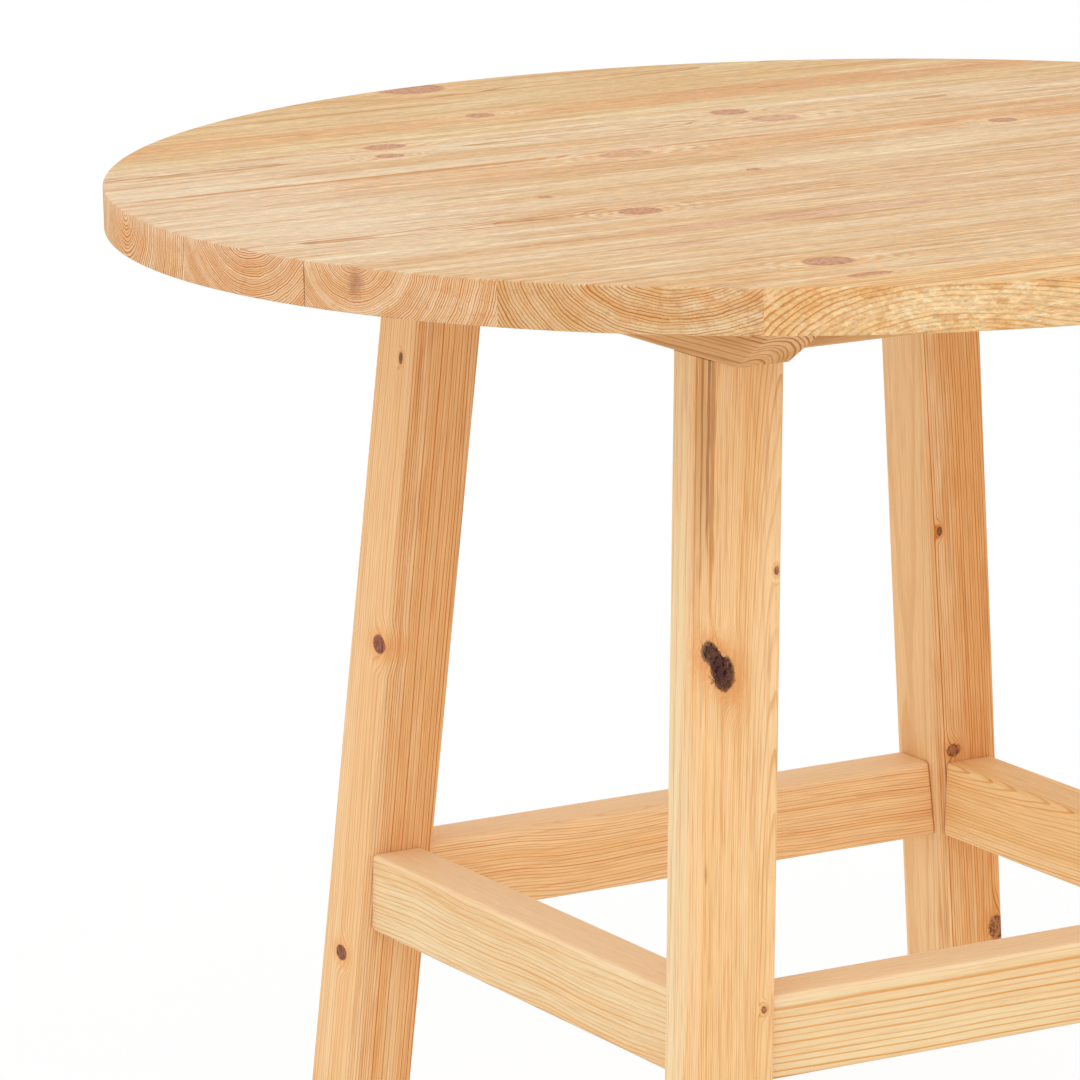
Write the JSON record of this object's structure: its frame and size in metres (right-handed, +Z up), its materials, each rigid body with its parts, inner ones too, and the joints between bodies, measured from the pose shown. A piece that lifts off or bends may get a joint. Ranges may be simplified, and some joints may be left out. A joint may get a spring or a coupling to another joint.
{
  "type": "round dining table",
  "caption": "Round pine dining table: edge-glued board top on bevelled bearers, splayed square legs tied by a ring of low box stretchers.",
  "frame": {"origin": "on the floor, under the centre of the round top", "axes": "+Z up, +X along the boards of the top, +Y across them towards the back"},
  "size_m": [1.0498, 1.05, 0.74],
  "materials": {
    "pine_top": "satin clear lacquer over edge-glued pine",
    "pine_frame": "satin clear lacquer over planed pine",
    "beech_dowel": "plain turned beech",
    "zinc_screw": "zinc plated",
    "glide_plastic": "moulded brown plastic"
  },
  "bodies": {
    "root": {"bearer_left": "pine_frame", "bearer_right": "pine_frame", "dowel_back_left_lower": "beech_dowel", "dowel_back_left_upper": "beech_dowel", "dowel_back_right_lower": "beech_dowel", "dowel_back_right_upper": "beech_dowel", "dowel_front_left_lower": "beech_dowel", "dowel_front_left_upper": "beech_dowel", "dowel_front_right_lower": "beech_dowel", "dowel_front_right_upper": "beech_dowel", "dowel_left_back_lower": "beech_dowel", "dowel_left_back_upper": "beech_dowel", "dowel_left_front_lower": "beech_dowel", "dowel_left_front_upper": "beech_dowel", "dowel_right_back_lower": "beech_dowel", "dowel_right_back_upper": "beech_dowel", "dowel_right_front_lower": "beech_dowel", "dowel_right_front_upper": "beech_dowel", "dowel_top_rail_back_left_back": "beech_dowel", "dowel_top_rail_back_left_front": "beech_dowel", "dowel_top_rail_back_right_back": "beech_dowel", "dowel_top_rail_back_right_front": "beech_dowel", "dowel_top_rail_front_left_back": "beech_dowel", "dowel_top_rail_front_left_front": "beech_dowel", "dowel_top_rail_front_right_back": "beech_dowel", "dowel_top_rail_front_right_front": "beech_dowel", "foot_glide_back_left": "glide_plastic", "foot_glide_back_right": "glide_plastic", "foot_glide_front_left": "glide_plastic", "foot_glide_front_right": "glide_plastic", "leg_back_left": "pine_frame", "leg_back_right": "pine_frame", "leg_front_left": "pine_frame", "leg_front_right": "pine_frame", "stretcher_back": "pine_frame", "stretcher_front": "pine_frame", "stretcher_left": "pine_frame", "stretcher_right": "pine_frame", "top_board_1": "pine_top", "top_board_2": "pine_top", "top_board_3": "pine_top", "top_board_4": "pine_top", "top_board_5": "pine_top", "top_board_6": "pine_top", "top_board_7": "pine_top", "top_board_8": "pine_top", "top_rail_back": "pine_frame", "top_rail_front": "pine_frame", "top_screw_back": "zinc_screw", "top_screw_front": "zinc_screw", "top_screw_left_1": "zinc_screw", "top_screw_left_2": "zinc_screw", "top_screw_left_3": "zinc_screw", "top_screw_right_1": "zinc_screw", "top_screw_right_2": "zinc_screw", "top_screw_right_3": "zinc_screw"}
  },
  "joints": []
}
